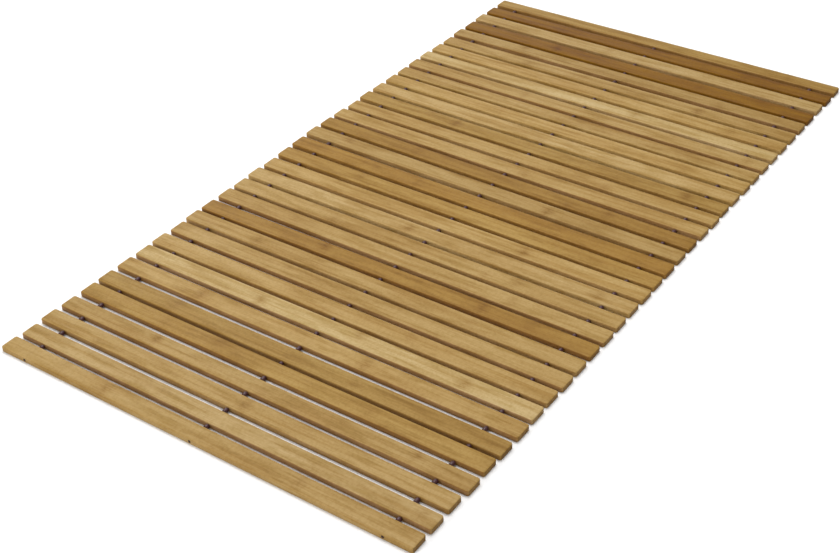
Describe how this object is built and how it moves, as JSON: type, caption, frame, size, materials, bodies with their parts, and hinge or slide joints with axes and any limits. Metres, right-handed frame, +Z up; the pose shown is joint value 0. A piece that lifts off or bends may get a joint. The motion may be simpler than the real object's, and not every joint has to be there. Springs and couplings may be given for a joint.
{
  "type": "bamboo slat mat",
  "caption": "Flat roll-up mat of narrow bamboo slats threaded side by side on dark cords, with a small spacer bead on each cord in every gap.",
  "frame": {"origin": "under the middle of the mat, at floor level: the centre of the bottom of its bounding box", "axes": "+X to the right along the slats, +Y from the front slat to the back slat along the mat's length, +Z up out of the top faces"},
  "size_m": [0.507, 0.9412, 0.006],
  "materials": {
    "bamboo_palest": "planed bamboo, clear satin lacquer",
    "bamboo_pale": "planed bamboo, clear satin lacquer",
    "bamboo_straw": "planed bamboo, clear satin lacquer",
    "bamboo_golden": "planed bamboo, clear satin lacquer",
    "bamboo_honey": "planed bamboo, clear satin lacquer",
    "bamboo_brown": "planed bamboo, clear satin lacquer",
    "cord_and_beads": "dark brown moulded beads on a dark twisted cord"
  },
  "bodies": {
    "root": {"slat_01": "bamboo_straw", "slat_02": "bamboo_pale", "slat_03": "bamboo_straw", "slat_04": "bamboo_straw", "slat_05": "bamboo_golden", "slat_06": "bamboo_golden", "slat_07": "bamboo_straw", "slat_08": "bamboo_palest", "slat_09": "bamboo_straw", "slat_10": "bamboo_straw", "slat_11": "bamboo_straw", "slat_12": "bamboo_honey", "slat_13": "bamboo_straw", "slat_14": "bamboo_straw", "slat_15": "bamboo_pale", "slat_16": "bamboo_straw", "slat_17": "bamboo_golden", "slat_18": "bamboo_honey", "slat_19": "bamboo_straw", "slat_20": "bamboo_honey", "slat_21": "bamboo_straw", "slat_22": "bamboo_straw", "slat_23": "bamboo_golden", "slat_24": "bamboo_pale", "slat_25": "bamboo_straw", "slat_26": "bamboo_straw", "slat_27": "bamboo_straw", "slat_28": "bamboo_palest", "slat_29": "bamboo_straw", "slat_30": "bamboo_straw", "slat_31": "bamboo_straw", "slat_32": "bamboo_brown", "slat_33": "bamboo_pale", "slat_34": "bamboo_brown", "slat_35": "bamboo_golden", "cord_left": "cord_and_beads", "cord_middle": "cord_and_beads", "cord_right": "cord_and_beads"}
  },
  "joints": []
}
